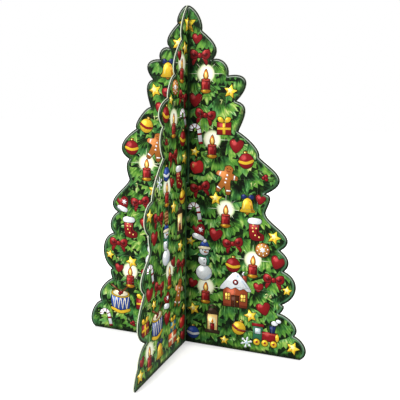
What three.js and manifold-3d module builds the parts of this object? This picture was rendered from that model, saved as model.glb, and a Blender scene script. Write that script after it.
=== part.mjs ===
// Free-standing advent calendar. Two flat fir trees cross at right angles on a vertical line,
// each slotted over the other. A tree is a board of three glued sheets: a printed inner sheet
// with pictures on both sides, and a printed cover on each side with creased doors in it.
import * as THREE from 'three';
import * as BufferGeometryUtils from 'three/addons/utils/BufferGeometryUtils.js';
import Module from 'manifold-3d';

const wasm = await Module();
wasm.setup();

// Driving dimensions, in millimetres

// Trees: height above the floor, and the farthest that a wing reaches from the crossing line
const TREE_HEIGHT = 400;
const TREE_REACH = 150;

// Sheets
const INNER_THICKNESS = 0.8;
const COVER_THICKNESS = 0.4;

// Die-pressed rim round each cover: how wide the slope is, and how far it falls
const RIM_WIDTH = 1.2;
const RIM_DEPTH = 0.25;

// Crossing slots: where they meet, play on each side of the board, play between the two ends,
// and how far each mouth is eased
const SLOT_MEET_HEIGHT = 200;
const SLOT_CLEARANCE = 0.1;
const SLOT_END_GAP = 0.3;
const SLOT_LEAD_IN = 1;

// Doors: the same size but for the last, with a knife cut round them
const DOOR_WIDTH = 30;
const DOOR_HEIGHT = 34;
const LAST_DOOR_WIDTH = 46;
const LAST_DOOR_HEIGHT = 52;
const DOOR_CORNER = 2.5;
const DOOR_CUT = 0.3;

// Longest facet along a curved edge, and the facets round a door's corner
const EDGE_FACET = 4;
const CORNER_FACETS = 3;

// Printed boards: green outside, pale card where the inner sheet's raw edge shows
const PRINT_GREEN = 0x2c6a28;
const DOOR_GREEN = 0x3c8430;
const CARD = 0xe8e2d2;
const PRINT_ROUGHNESS = 0.42;
const CARD_ROUGHNESS = 0.85;

// The drawing of the tree's edge, on a sheet 150 wide to each side and 400 high. Each wing is
// drawn from the tip to the floor, a lobe to a line: the pull out of the last notch, the pull
// into the next, and that notch, each as distance from the crossing line and height.
const DRAWN_REACH = 150;
const DRAWN_HEIGHT = 400;

const RIGHT_WING = [
  [11, 398, 20, 381, 18, 372],
  [23, 367, 44, 354, 32, 341],
  [41, 343, 52, 335, 50, 323],
  [74, 327, 77, 312, 60, 295],
  [79, 290, 67, 273, 63, 261],
  [69, 258, 90, 243, 88, 233],
  [99, 222, 131, 209, 97, 192],
  [108, 190, 98, 177, 97, 170],
  [98, 157, 141, 145, 116, 128],
  [123, 123, 131, 114, 121, 104],
  [140, 97, 140, 74, 120, 64],
  [125, 63, 121, 56, 118, 53],
  [124, 53, 145, 40, 136, 28],
  [145, 26, 158, 9, 143, 0],
];

const LEFT_WING = [
  [6, 400, 15, 386, 12, 380],
  [16, 376, 31, 363, 22, 354],
  [30, 357, 37, 348, 34, 341],
  [50, 342, 56, 332, 43, 318],
  [57, 314, 48, 294, 46, 286],
  [52, 287, 70, 264, 65, 260],
  [78, 252, 97, 235, 75, 223],
  [82, 216, 77, 204, 75, 198],
  [78, 187, 113, 170, 92, 156],
  [100, 152, 107, 137, 98, 129],
  [117, 123, 117, 91, 101, 82],
  [106, 81, 102, 72, 101, 69],
  [107, 67, 126, 50, 118, 37],
  [127, 35, 141, 8, 127, 0],
];

const FRONT_WING = [
  [7, 396, 27, 373, 18, 361],
  [26, 357, 48, 334, 38, 323],
  [47, 321, 58, 305, 56, 298],
  [73, 294, 91, 282, 68, 268],
  [80, 260, 77, 243, 68, 234],
  [75, 228, 97, 206, 97, 193],
  [115, 190, 123, 169, 105, 158],
  [107, 155, 103, 145, 102, 142],
  [102, 129, 140, 116, 116, 98],
  [134, 75, 141, 57, 115, 44],
  [126, 42, 133, 30, 133, 23],
  [135, 21, 147, 4, 139, 0],
];

const BACK_WING = FRONT_WING;

// Doors in the order of their numbers, 1 to 24. Each has its tree, the face it is on, and its
// middle on the drawing, where a distance below zero is on the left or back wing.
const DOORS = [
  ['front_tree', 'right', -66, 170],
  ['side_tree', 'back', -30, 240],
  ['side_tree', 'front', -55, 180],
  ['front_tree', 'left', 30, 250],
  ['side_tree', 'back', 92, 84],
  ['front_tree', 'left', -30, 240],
  ['side_tree', 'front', 32, 282],
  ['front_tree', 'left', -82, 44],
  ['front_tree', 'right', 28, 280],
  ['side_tree', 'back', 30, 262],
  ['front_tree', 'right', -90, 88],
  ['side_tree', 'front', -29, 262],
  ['front_tree', 'left', 84, 52],
  ['front_tree', 'right', 70, 180],
  ['side_tree', 'back', -60, 140],
  ['side_tree', 'front', 72, 190],
  ['front_tree', 'left', -60, 132],
  ['front_tree', 'right', -29, 272],
  ['side_tree', 'front', -80, 84],
  ['front_tree', 'left', 62, 160],
  ['side_tree', 'back', 62, 172],
  ['front_tree', 'right', 95, 70],
  ['side_tree', 'back', -78, 40],
  ['side_tree', 'front', 86, 52],
];

// The two trees. A tree is laid out flat, with x along its wings, y up and z out of its face,
// so its two faces are on the sides of z named here.
const TREES = {
  side_tree: { right: RIGHT_WING, left: LEFT_WING, faces: { front: 1, back: -1 }, slotOpens: 'up' },
  front_tree: { right: FRONT_WING, left: BACK_WING, faces: { left: 1, right: -1 }, slotOpens: 'down' },
};

const BOARD_THICKNESS = INNER_THICKNESS + 2 * COVER_THICKNESS;
const SLOT_WIDTH = BOARD_THICKNESS + 2 * SLOT_CLEARANCE;

// A point of the drawing at the tree's real size
function stretched(across, up) {
  return new THREE.Vector2(
    (across * TREE_REACH) / DRAWN_REACH,
    (up * TREE_HEIGHT) / DRAWN_HEIGHT,
  );
}

// One wing's edge from the tip to the floor, without the tip itself
function wingEdge(lobes) {
  const points = [];
  let from = stretched(0, DRAWN_HEIGHT);
  for (const [outAcross, outUp, inAcross, inUp, notchAcross, notchUp] of lobes) {
    const notch = stretched(notchAcross, notchUp);
    const lobe = new THREE.CubicBezierCurve(
      from,
      stretched(outAcross, outUp),
      stretched(inAcross, inUp),
      notch,
    );
    const facets = Math.max(2, Math.ceil(lobe.getLength() / EDGE_FACET));
    points.push(...lobe.getPoints(facets).slice(1));
    from = notch;
  }
  return points;
}

// A whole tree's edge, anticlockwise from the tip: down the left, along the floor, up the right
function treeEdge({ right, left }) {
  const leftEdge = wingEdge(left).map(({ x, y }) => new THREE.Vector2(-x, y));
  const rightEdge = wingEdge(right).reverse();
  return [stretched(0, DRAWN_HEIGHT), ...leftEdge, ...rightEdge];
}

// The edge drawn in towards the board by a distance, with each corner on its mitre
function drawnIn(edge, distance) {
  return edge.map((point, i) => {
    const before = edge[(i + edge.length - 1) % edge.length];
    const after = edge[(i + 1) % edge.length];
    const along = point.clone().sub(before).normalize();
    const onward = after.clone().sub(point).normalize();
    const inward = new THREE.Vector2(-along.y - onward.y, along.x + onward.x).normalize();
    const lean = inward.x * -along.y + inward.y * along.x;
    return point.clone().addScaledVector(inward, distance / lean);
  });
}

// A closed stack of equal rings, each at its own height, capped at both ends. The rings run
// anticlockwise seen from +z, and their heights rise or fall in turn.
function stackedRings(rings, heights) {
  const count = rings[0].length;
  const positions = rings.flatMap((ring, k) => ring.flatMap(({ x, y }) => [x, y, heights[k]]));
  const faces = [];
  for (let k = 0; k + 1 < rings.length; k += 1) {
    for (let i = 0; i < count; i += 1) {
      const next = (i + 1) % count;
      const low = k * count;
      const high = low + count;
      faces.push([low + i, low + next, high + next], [low + i, high + next, high + i]);
    }
  }
  const top = (rings.length - 1) * count;
  for (const [a, b, c] of THREE.ShapeUtils.triangulateShape(rings[0], [])) {
    faces.push([a, c, b]);
  }
  for (const [a, b, c] of THREE.ShapeUtils.triangulateShape(rings[rings.length - 1], [])) {
    faces.push([top + a, top + b, top + c]);
  }
  const rising = heights[heights.length - 1] > heights[0];
  const index = faces.flatMap(([a, b, c]) => (rising ? [a, b, c] : [a, c, b]));
  const geometry = new THREE.BufferGeometry();
  geometry.setAttribute('position', new THREE.Float32BufferAttribute(positions, 3));
  geometry.setIndex(index);
  return geometry;
}

function solidOf(geometry) {
  const bare = geometry.clone();
  bare.deleteAttribute('normal');
  bare.deleteAttribute('uv');
  const merged = BufferGeometryUtils.mergeVertices(bare);
  return new wasm.Manifold(new wasm.Mesh({
    numProp: 3,
    vertProperties: merged.attributes.position.array,
    triVerts: new Uint32Array(merged.index.array),
  }));
}

function geometryOf(solid) {
  const mesh = solid.getMesh();
  const geometry = new THREE.BufferGeometry();
  geometry.setAttribute('position', new THREE.BufferAttribute(mesh.vertProperties, 3));
  geometry.setIndex(new THREE.BufferAttribute(mesh.triVerts, 1));
  geometry.computeVertexNormals();
  return geometry;
}

// A flat shape pushed through the whole board, to cut with
function boardCutter(shape) {
  const depth = 2 * BOARD_THICKNESS;
  const geometry = new THREE.ExtrudeGeometry(shape, {
    depth,
    bevelEnabled: false,
    curveSegments: CORNER_FACETS,
  });
  geometry.translate(0, 0, -depth / 2);
  return solidOf(geometry);
}

// The slot that lets the other tree in, eased at its mouth. The mouth is past the board's edge
// by the lead-in, so that the cut is clean there.
function slotCutter(slotOpens) {
  const up = slotOpens === 'up';
  const away = up ? 1 : -1;
  const end = SLOT_MEET_HEIGHT - (away * SLOT_END_GAP) / 2;
  const mouth = up ? TREE_HEIGHT : 0;
  const half = SLOT_WIDTH / 2;
  const shape = new THREE.Shape([
    new THREE.Vector2(-half, end),
    new THREE.Vector2(half, end),
    new THREE.Vector2(half, mouth - away * 2 * SLOT_LEAD_IN),
    new THREE.Vector2(half + 1.5 * SLOT_LEAD_IN, mouth + away * SLOT_LEAD_IN),
    new THREE.Vector2(-half - 1.5 * SLOT_LEAD_IN, mouth + away * SLOT_LEAD_IN),
    new THREE.Vector2(-half, mouth - away * 2 * SLOT_LEAD_IN),
  ]);
  return boardCutter(shape);
}

// A door's place and size on its tree. The crease is on the side away from the crossing line.
function doorPlace(number) {
  const [tree, face, across, up] = DOORS[number - 1];
  const last = number === DOORS.length;
  return {
    tree,
    side: TREES[tree].faces[face],
    middle: stretched(across, up),
    creaseSide: Math.sign(across),
    width: last ? LAST_DOOR_WIDTH : DOOR_WIDTH,
    height: last ? LAST_DOOR_HEIGHT : DOOR_HEIGHT,
  };
}

// A door's outline, square at the crease and rounded at its free corners, grown by a margin
function doorShape({ middle, creaseSide, width, height }, margin) {
  const crease = middle.x + creaseSide * (width / 2 + margin);
  const free = middle.x - creaseSide * (width / 2 + margin);
  const low = middle.y - height / 2 - margin;
  const high = middle.y + height / 2 + margin;
  const corner = DOOR_CORNER + margin;
  const shape = new THREE.Shape();
  shape.moveTo(crease, low);
  shape.lineTo(crease, high);
  shape.lineTo(free + creaseSide * corner, high);
  shape.quadraticCurveTo(free, high, free, high - corner);
  shape.lineTo(free, low + corner);
  shape.quadraticCurveTo(free, low, free + creaseSide * corner, low);
  shape.closePath();
  return shape;
}

const doorNumbers = DOORS.map((door, i) => i + 1);

// The inner sheet, cut off square at the tree's edge
function innerSheet(treeName) {
  const edge = treeEdge(TREES[treeName]);
  const half = INNER_THICKNESS / 2;
  const sheet = solidOf(stackedRings([edge, edge], [-half, half]));
  return geometryOf(sheet.subtract(slotCutter(TREES[treeName].slotOpens)));
}

// A cover on one side of the inner sheet, with its rim pressed down and its doors cut out
function coverSheet(treeName, side) {
  const edge = treeEdge(TREES[treeName]);
  const glued = INNER_THICKNESS / 2;
  const outer = glued + COVER_THICKNESS;
  const rings = [edge, edge, drawnIn(edge, RIM_WIDTH)];
  const heights = [glued, outer - RIM_DEPTH, outer].map((height) => side * height);
  let sheet = solidOf(stackedRings(rings, heights));
  sheet = sheet.subtract(slotCutter(TREES[treeName].slotOpens));
  for (const number of doorNumbers) {
    const door = doorPlace(number);
    if (door.tree === treeName && door.side === side) {
      sheet = sheet.subtract(boardCutter(doorShape(door, DOOR_CUT)));
    }
  }
  return geometryOf(sheet);
}

// A door fills its window in the cover, flush on both faces
function doorFlap(number) {
  const door = doorPlace(number);
  const geometry = new THREE.ExtrudeGeometry(doorShape(door, 0), {
    depth: COVER_THICKNESS,
    bevelEnabled: false,
    curveSegments: CORNER_FACETS,
  });
  const glued = INNER_THICKNESS / 2;
  geometry.translate(0, 0, door.side > 0 ? glued : -glued - COVER_THICKNESS);
  return geometry;
}

function printed(color) {
  return new THREE.MeshStandardMaterial({ color, roughness: PRINT_ROUGHNESS, metalness: 0 });
}

function card() {
  return new THREE.MeshStandardMaterial({ color: CARD, roughness: CARD_ROUGHNESS, metalness: 0 });
}

function piece(name, geometry, material) {
  const mesh = new THREE.Mesh(geometry, material);
  mesh.name = name;
  return mesh;
}

// A tree stood up: its flat drawing is turned upright, then about the crossing line
function standingTree(treeName, turn) {
  const upright = new THREE.Group();
  upright.rotation.x = Math.PI / 2;
  upright.add(piece(`${treeName}_inner_sheet`, innerSheet(treeName), card()));
  for (const [face, side] of Object.entries(TREES[treeName].faces)) {
    upright.add(piece(`${treeName}_${face}_cover`, coverSheet(treeName, side), printed(PRINT_GREEN)));
  }
  for (const number of doorNumbers) {
    if (doorPlace(number).tree === treeName) {
      const name = `door_${String(number).padStart(2, '0')}`;
      upright.add(piece(name, doorFlap(number), printed(DOOR_GREEN)));
    }
  }
  const turned = new THREE.Group();
  turned.rotation.z = turn;
  turned.add(upright);
  return turned;
}

const calendar = new THREE.Group();
calendar.add(standingTree('side_tree', 0));
calendar.add(standingTree('front_tree', -Math.PI / 2));

export default calendar;
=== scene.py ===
# %% [markdown]
# # A slotted fir-tree advent calendar
# The calendar is two flat boards, each die-cut to a fir tree's edge, that cross at a right
# angle and slot into each other. Each board is a card sheet with a printed cover glued to both
# sides, and the covers have numbered doors. The CAD model already has the boards, the doors,
# the slots and the pressed rim, so this script adds what a printer adds: ink. Every printed
# face becomes one thin, closed sheet of ink, cut along the ornaments and along the doors, so
# that each door takes its own share of the print with it when it opens.

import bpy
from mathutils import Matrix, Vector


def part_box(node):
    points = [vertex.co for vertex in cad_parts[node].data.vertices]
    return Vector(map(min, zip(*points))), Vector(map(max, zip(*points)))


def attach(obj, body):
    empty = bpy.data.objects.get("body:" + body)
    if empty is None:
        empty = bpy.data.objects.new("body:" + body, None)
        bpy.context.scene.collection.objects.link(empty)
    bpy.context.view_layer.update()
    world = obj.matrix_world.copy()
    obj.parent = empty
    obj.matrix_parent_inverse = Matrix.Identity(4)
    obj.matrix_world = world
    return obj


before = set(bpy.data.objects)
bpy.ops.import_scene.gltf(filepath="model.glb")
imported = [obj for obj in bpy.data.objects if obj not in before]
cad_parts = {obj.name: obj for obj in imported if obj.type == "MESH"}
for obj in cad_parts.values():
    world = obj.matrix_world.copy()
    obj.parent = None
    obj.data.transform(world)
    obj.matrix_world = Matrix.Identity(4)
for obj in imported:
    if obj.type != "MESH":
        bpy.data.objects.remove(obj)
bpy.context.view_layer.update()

import math
import random

import bmesh
import bpy
import numpy as np
from mathutils import Matrix, Vector
from mathutils.geometry import delaunay_2d_cdt

MM = 0.001
scene = bpy.context.scene

# %% [markdown]
# ## Small helpers
# Print colours are given as sRGB hex values, but Blender's shaders work in linear
# light, so one function turns the first into the second. Another one adds a shader node with
# its settings and its links, so that a material reads as a short recipe, and a third one
# starts an empty material.

# %% Colour and node helpers
def linear(hex_colour):
    """An sRGB hex colour as linear red, green and blue, with an alpha of 1."""
    channels = [int(hex_colour[i:i + 2], 16) / 255 for i in (1, 3, 5)]
    return [c / 12.92 if c <= 0.04045 else ((c + 0.055) / 1.055) ** 2.4 for c in channels] + [1.0]


def add(tree, kind, inputs=None, **settings):
    """A new shader node. A value in inputs is a node or a socket to link from, or a plain
    setting. Stops are the (place, hex colour) pairs of a colour ramp."""
    node = tree.nodes.new("ShaderNode" + kind)
    stops = settings.pop("stops", [])
    if stops:
        ramp = node.color_ramp.elements
        ramp.remove(ramp[1])
        ramp[0].position, ramp[0].color = stops[0][0], linear(stops[0][1])
        for spot, hex_colour in stops[1:]:
            ramp.new(spot).color = linear(hex_colour)
    for name, value in settings.items():
        setattr(node, name, value)
    for socket, value in (inputs or {}).items():
        if isinstance(value, bpy.types.Node):
            value = value.outputs[0]
        if isinstance(value, bpy.types.NodeSocket):
            tree.links.new(value, node.inputs[socket])
        else:
            node.inputs[socket].default_value = value
    return node


def new_material(name):
    """An empty node material with its output node, as (material, tree, output)."""
    material = bpy.data.materials.new(name)
    material.use_nodes = True
    tree = material.node_tree
    tree.nodes.clear()
    return material, tree, tree.nodes.new("ShaderNodeOutputMaterial")


print("mid green in linear light:", [round(c, 3) for c in linear("#4e6e39")[:3]])

# %% [markdown]
# ## Camera
# The photograph looks down on the calendar a little and from its right, so that the front
# wing comes towards us. The angle, distance and lens were found by fitting the tip, the foot
# of the crossing line and the three visible toes. A focal length of 600 pixels on a
# 400-pixel picture is a 54 mm lens on a 36 mm sensor.

# %% Camera
PICTURE_PIXELS = 400
FOCAL_PIXELS = 600
SENSOR = 36
AZIMUTH = math.radians(20.5)
ELEVATION = math.radians(10.55)
ROLL = math.radians(0.63)
DISTANCE = 0.7123
AIM_HEIGHT = 0.1780
AIM_TO_RIGHT = 0.0163

back = Vector((
    math.sin(AZIMUTH) * math.cos(ELEVATION),
    -math.cos(AZIMUTH) * math.cos(ELEVATION),
    math.sin(ELEVATION),
))
level_right = Vector((0, 0, 1)).cross(back).normalized()
level_up = back.cross(level_right)
right = math.cos(ROLL) * level_right + math.sin(ROLL) * level_up
up = math.cos(ROLL) * level_up - math.sin(ROLL) * level_right
aim = Vector((0, 0, AIM_HEIGHT)) + AIM_TO_RIGHT * level_right

camera_data = bpy.data.cameras.new("camera")
camera_data.sensor_width = SENSOR
camera_data.lens = SENSOR * FOCAL_PIXELS / PICTURE_PIXELS
camera_data.dof.use_dof = False
camera = bpy.data.objects.new("camera", camera_data)
turned = Matrix((right, up, back)).transposed().to_4x4()
camera.matrix_world = Matrix.Translation(aim + DISTANCE * back) @ turned
scene.collection.objects.link(camera)
scene.camera = camera
print("lens:", camera_data.lens, "mm, camera at", [round(c, 3) for c in camera.location])

# %% [markdown]
# ## Floor, sky and lamps
# The calendar stands on plain white, with a soft pale shadow. The floor is ordinary white
# paint with a little light of its own that only the camera sees: the lit floor then reaches
# white, and the shadow stays. The sky is white for the camera too, and a soft grey-white lamp
# for everything else. A wide lamp in front, a little to the left, lights the left and right
# wings. A weaker one at the right keeps the front wing's side a little darker, as in the
# picture, and a third one, behind, lights the faces that the picture doesn't show.

# %% Floor
FLOOR_HALF = 4.0
FLOOR_DROP = 0.0001
FLOOR_LEVEL = 0.7
FLOOR_GLOW = 0.68
CONTACT_REACH = 0.014

floor_mesh = bpy.data.meshes.new("floor")
bm = bmesh.new()
bmesh.ops.create_grid(bm, x_segments=1, y_segments=1, size=FLOOR_HALF)
bmesh.ops.translate(bm, verts=bm.verts, vec=(0, 0, -FLOOR_DROP))
bm.to_mesh(floor_mesh)
bm.free()
floor = bpy.data.objects.new("floor", floor_mesh)
scene.collection.objects.link(floor)

material, tree, out = new_material("white_floor")
rays = add(tree, "LightPath")
seen = add(tree, "Math", {0: rays.outputs["Is Camera Ray"], 1: rays.outputs["Is Glossy Ray"]},
           operation="MAXIMUM")
# Painted contact shadow: within 14 mm of the calendar, ambient occlusion darkens the floor's white,
# both its paint and the glow that the camera sees.
open_air = add(tree, "AmbientOcclusion", {"Distance": CONTACT_REACH}).outputs["AO"]
contact_shadow = add(tree, "MapRange", {"Value": open_air, "From Min": 0.45, "From Max": 0.95,
                                 "To Min": 0.62, "To Max": 1.0})
white = add(tree, "CombineColor", {"Red": contact_shadow, "Green": contact_shadow, "Blue": contact_shadow})
bare = add(tree, "VectorMath", {0: white, "Scale": FLOOR_LEVEL}, operation="SCALE")
paint = add(tree, "BsdfDiffuse", {"Color": bare})
strength = add(tree, "Math", {0: seen, 1: FLOOR_GLOW}, operation="MULTIPLY")
glow = add(tree, "Emission", {"Color": white, "Strength": strength})
both = add(tree, "AddShader", {0: paint, 1: glow})
tree.links.new(both.outputs["Shader"], out.inputs["Surface"])
floor_mesh.materials.append(material)
print("floor:", 2 * FLOOR_HALF, "m across")

# %% Sky
SKY_LIGHT = 0.8

world = bpy.data.worlds.new("sky")
scene.world = world
world.use_nodes = True
sky = world.node_tree
sky.nodes.clear()
rays = add(sky, "LightPath")
glossy = add(sky, "Math", {0: rays.outputs["Is Camera Ray"], 1: rays.outputs["Is Glossy Ray"]},
             operation="MAXIMUM")
seen = add(sky, "Math", {0: glossy, 1: rays.outputs["Is Transmission Ray"]},
           operation="MAXIMUM")
level = add(sky, "MapRange", {"Value": seen, "To Min": SKY_LIGHT, "To Max": 1.0})
shine = add(sky, "Background", {"Color": (1, 1, 1, 1), "Strength": level})
sky_out = sky.nodes.new("ShaderNodeOutputWorld")
sky.links.new(shine.outputs["Background"], sky_out.inputs["Surface"])
print("the sky gives", SKY_LIGHT, "of white light")

# %% Lamps
LAMP_AIM = Vector((0, 0, 0.18))
LAMPS = {
    "key_lamp": {"place": (-0.8, -2.0, 1.3), "size": 1.2, "power": 47},
    "fill_lamp": {"place": (1.9, -0.4, 0.9), "size": 1.6, "power": 10},
    "back_lamp": {"place": (0.3, 1.5, 1.6), "size": 1.6, "power": 16},
}
for name, lamp in LAMPS.items():
    data = bpy.data.lights.new(name, "AREA")
    data.size = lamp["size"]
    data.energy = lamp["power"]
    holder = bpy.data.objects.new(name, data)
    holder.location = lamp["place"]
    towards = LAMP_AIM - holder.location
    holder.rotation_euler = towards.to_track_quat("-Z", "Y").to_euler()
    scene.collection.objects.link(holder)

scene.view_settings.view_transform = "Standard"
print("lamps:", ", ".join(LAMPS))

# %% [markdown]
# ## Four printed faces
# Each board has two printed faces. A face is drawn flat, as a printer sees it: u runs along
# the wings and v runs up, both in millimetres. Seen from behind, u runs the other way, so the
# art on that side is mirrored back to keep its numbers readable.

# %% The faces
FACES = {
    "side_tree_front": {"along": Vector((1, 0, 0)), "out": Vector((0, -1, 0)), "reads": 1},
    "side_tree_back": {"along": Vector((1, 0, 0)), "out": Vector((0, 1, 0)), "reads": -1},
    "front_tree_left": {"along": Vector((0, -1, 0)), "out": Vector((-1, 0, 0)), "reads": 1},
    "front_tree_right": {"along": Vector((0, -1, 0)), "out": Vector((1, 0, 0)), "reads": -1},
}
for name, face in FACES.items():
    face["name"] = name
    face["tree"] = name.rsplit("_", 1)[0]
    face["cover"] = name + "_cover"
print("printed faces:", ", ".join(FACES))

# %% Points and edges of a face
SAME_HEIGHT = 1e-6
FACES_OUT = 0.9999


def flat_point(face, place):
    """A point of the frame, in metres, as (u, v) on the face, in millimetres."""
    return (place.dot(face["along"]) / MM, place.z / MM)


def frame_point(face, uv, height):
    """A point (u, v) on the face at a height along the face's outward direction, in metres."""
    return face["along"] * uv[0] * MM + face["out"] * height + Vector((0, 0, uv[1] * MM))


def outer_height(node, face):
    """How far out a node's printed side is, in metres."""
    low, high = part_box(node)
    return max(low.dot(face["out"]), high.dot(face["out"]))


def flat_loops(node, face):
    """The closed edges of a node's flat outer side, longest first, as lists of (u, v)."""
    bm = bmesh.new()
    bm.from_mesh(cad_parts[node].data)
    bmesh.ops.remove_doubles(bm, verts=bm.verts, dist=SAME_HEIGHT)
    height = outer_height(node, face)
    flat = {f for f in bm.faces
            if f.normal.dot(face["out"]) > FACES_OUT
            and abs(f.calc_center_median().dot(face["out"]) - height) < SAME_HEIGHT}
    rim = [e for e in bm.edges if sum(f in flat for f in e.link_faces) == 1]
    links = {}
    for edge in rim:
        a, b = edge.verts
        links.setdefault(a, []).append(b)
        links.setdefault(b, []).append(a)
    loops = []
    while links:
        start = next(iter(links))
        loop, here, last = [], start, None
        while here in links:
            loop.append(flat_point(face, here.co))
            onward = [v for v in links.pop(here) if v is not last and (v in links or v is start)]
            last = here
            if not onward or onward[0] is start:
                break
            here = onward[0]
        loops.append(loop)
    bm.free()
    return sorted(loops, key=loop_length, reverse=True)


def loop_length(loop):
    """The length of a closed line."""
    return sum(math.dist(a, b) for a, b in zip(loop, loop[1:] + loop[:1]))


for name, face in FACES.items():
    face["loops"] = flat_loops(face["cover"], face)
    print(name, "edge", round(loop_length(face["loops"][0])), "mm, windows",
          len(face["loops"]) - 1)

# %% Doors of each face
# A door belongs to the face whose cover it lies level with. From a face, the other board is
# seen on edge at the crossing line, so a door that close to the line isn't the face's own.
LEVEL_WITHIN = 0.3 * MM
CLEAR_OF_LINE = 5 * MM
DOOR_NODES = sorted(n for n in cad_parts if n.startswith("door_"))

for name, face in FACES.items():
    face["doors"] = {}
    for node in DOOR_NODES:
        low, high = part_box(node)
        middle = (low + high) / 2
        below = abs(middle.dot(face["out"]) - outer_height(face["cover"], face))
        if below < LEVEL_WITHIN and abs(middle.dot(face["along"])) > CLEAR_OF_LINE:
            face["doors"][node] = flat_loops(node, face)[0]
    print(name, "doors", sorted(face["doors"]))

# %% [markdown]
# ## Drawing with flat shapes
# A printed ornament is drawn from a few flat patches of ink, one over the other, the way a
# screen printer would cut them: ovals, stars, soft blobs and brush strokes. A part gets a thin
# dark line around it, as in a picture book; a mark, such as a window or a dot, gets none.

# %% Ovals, blocks, stars and soft blobs
def oval(x, y, wide, high=None, count=16):
    """A circle or an oval, from its middle and its half width and half height."""
    high = wide if high is None else high
    turns = [math.tau * i / count for i in range(count)]
    return [(x + wide * math.cos(a), y + high * math.sin(a)) for a in turns]


def block(x0, y0, x1, y1):
    """An upright rectangle, from its lower left and upper right corners."""
    return [(x0, y0), (x1, y0), (x1, y1), (x0, y1)]


def star(x, y, reach, waist=0.45, points=5):
    """A star with one point straight up. The waist is the share of the reach between points."""
    turns = [math.pi / 2 + math.pi * i / points for i in range(2 * points)]
    reaches = [reach, reach * waist] * points
    return [(x + r * math.cos(a), y + r * math.sin(a)) for r, a in zip(reaches, turns)]


def soft(points, steps=3):
    """A smooth closed curve through a few points, with some steps from each to the next."""
    loop = []
    count = len(points)
    for i in range(count):
        a, b, c, d = (Vector(points[(i + k) % count]) for k in (-1, 0, 1, 2))
        for step in range(steps):
            t = step / steps
            curve = b * 2 + (c - a) * t + (a * 2 - b * 5 + c * 4 - d) * t ** 2
            loop.append(tuple((curve + (b * 3 - a - c * 3 + d) * t ** 3) / 2))
    return loop


print("a five-pointed star has", len(star(0, 0, 1)), "corners")

# %% Brush strokes and arcs
def stroke(points, width, tip=1.0):
    """A brush stroke along an open line, with its width at the start and at the tip."""
    line = [Vector(p) for p in points]
    left, other = [], []
    for i, here in enumerate(line):
        ahead = (line[min(i + 1, len(line) - 1)] - line[max(i - 1, 0)]).normalized()
        half = width / 2 * (1 + (tip - 1) * i / (len(line) - 1))
        aside = Vector((-ahead.y, ahead.x)) * half
        left.append(tuple(here + aside))
        other.append(tuple(here - aside))
    return other + left[::-1]


def arc(x, y, reach, start, end, count=9):
    """An open arc of a circle, from one angle to another, in degrees."""
    turns = [math.radians(start + (end - start) * i / (count - 1)) for i in range(count)]
    return [(x + reach * math.cos(a), y + reach * math.sin(a)) for a in turns]


print("a stroke along an arc has", len(stroke(arc(0, 0, 5, 0, 90), 1)), "corners")

# %% Outlines and patches of ink
LINE_INK = "#20140c"
LINE_WIDTH = 0.66


def flipped(loop, side):
    """A loop, mirrored left to right where the side is -1."""
    return [(side * x, y) for x, y in loop]


def area(loop):
    """The area of a closed line, less than 0 where it runs clockwise."""
    return sum(a[0] * b[1] - b[0] * a[1] for a, b in zip(loop, loop[1:] + loop[:1])) / 2


def anticlockwise(loop):
    """The loop, turned round where it runs clockwise."""
    return loop if area(loop) > 0 else loop[::-1]


def grown(loop, by):
    """An anticlockwise loop with every side moved outwards, and a sharp corner twice as far
    at most."""
    wider = []
    for before, here, after in zip(loop[-1:] + loop[:-1], loop, loop[1:] + loop[:1]):
        one = Vector((here[1] - before[1], before[0] - here[0])).normalized()
        two = Vector((after[1] - here[1], here[0] - after[0])).normalized()
        middle = (one + two).normalized() if (one + two).length > 0.01 else one
        reach = by / max(middle.dot(one), 0.5)
        wider.append((here[0] + middle.x * reach, here[1] + middle.y * reach))
    return wider


def part(ink, loop):
    """A patch of ink that gets the dark line, as (ink, loop, has a dark line)."""
    return (ink, anticlockwise(loop), True)


def mark(ink, loop):
    """A patch of ink without the line."""
    return (ink, anticlockwise(loop), False)


print("a square of 2 mm grows from", area(block(0, 0, 2, 2)), "to",
      round(area(grown(block(0, 0, 2, 2), 0.5)), 2), "square mm")

# %% [markdown]
# ## The ornaments
# These are the usual ornaments of a Christmas tree: candles, bows, baubles, bells, stars,
# sweets and biscuits, drawn some 10 to 20 mm across, and a few larger toys for the lower
# branches, up to 38 mm high. Each is scaled when it is laid out. A candle also has a flame
# place, from which a soft pale glow is printed.

# %% The inks
RED, DARK_RED, PALE_RED = "#86191d", "#4e0d10", "#bf4439"
GOLD, DARK_GOLD, PALE_GOLD = "#dcb52e", "#a06c1a", "#f4e07a"
CREAM, SNOW, BLUE, DARK_BLUE = "#f0e6c4", "#e9eef2", "#2d4c9a", "#1c2c5c"
LEAF, DARK_LEAF, BROWN, GINGER = "#3f6d2b", "#1f3b18", "#6b3f1d", "#a8652a"
PINE, ICE, IRON, TIMBER, LAMPLIGHT = "#2f6d4e", "#b8cbe0", "#3a2c20", "#6d2f1c", "#ffd75e"
print("the reds run from", DARK_RED, "over", RED, "to", PALE_RED)

# %% Candles and bows
FLAME_HEIGHT = 7.6


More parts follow.
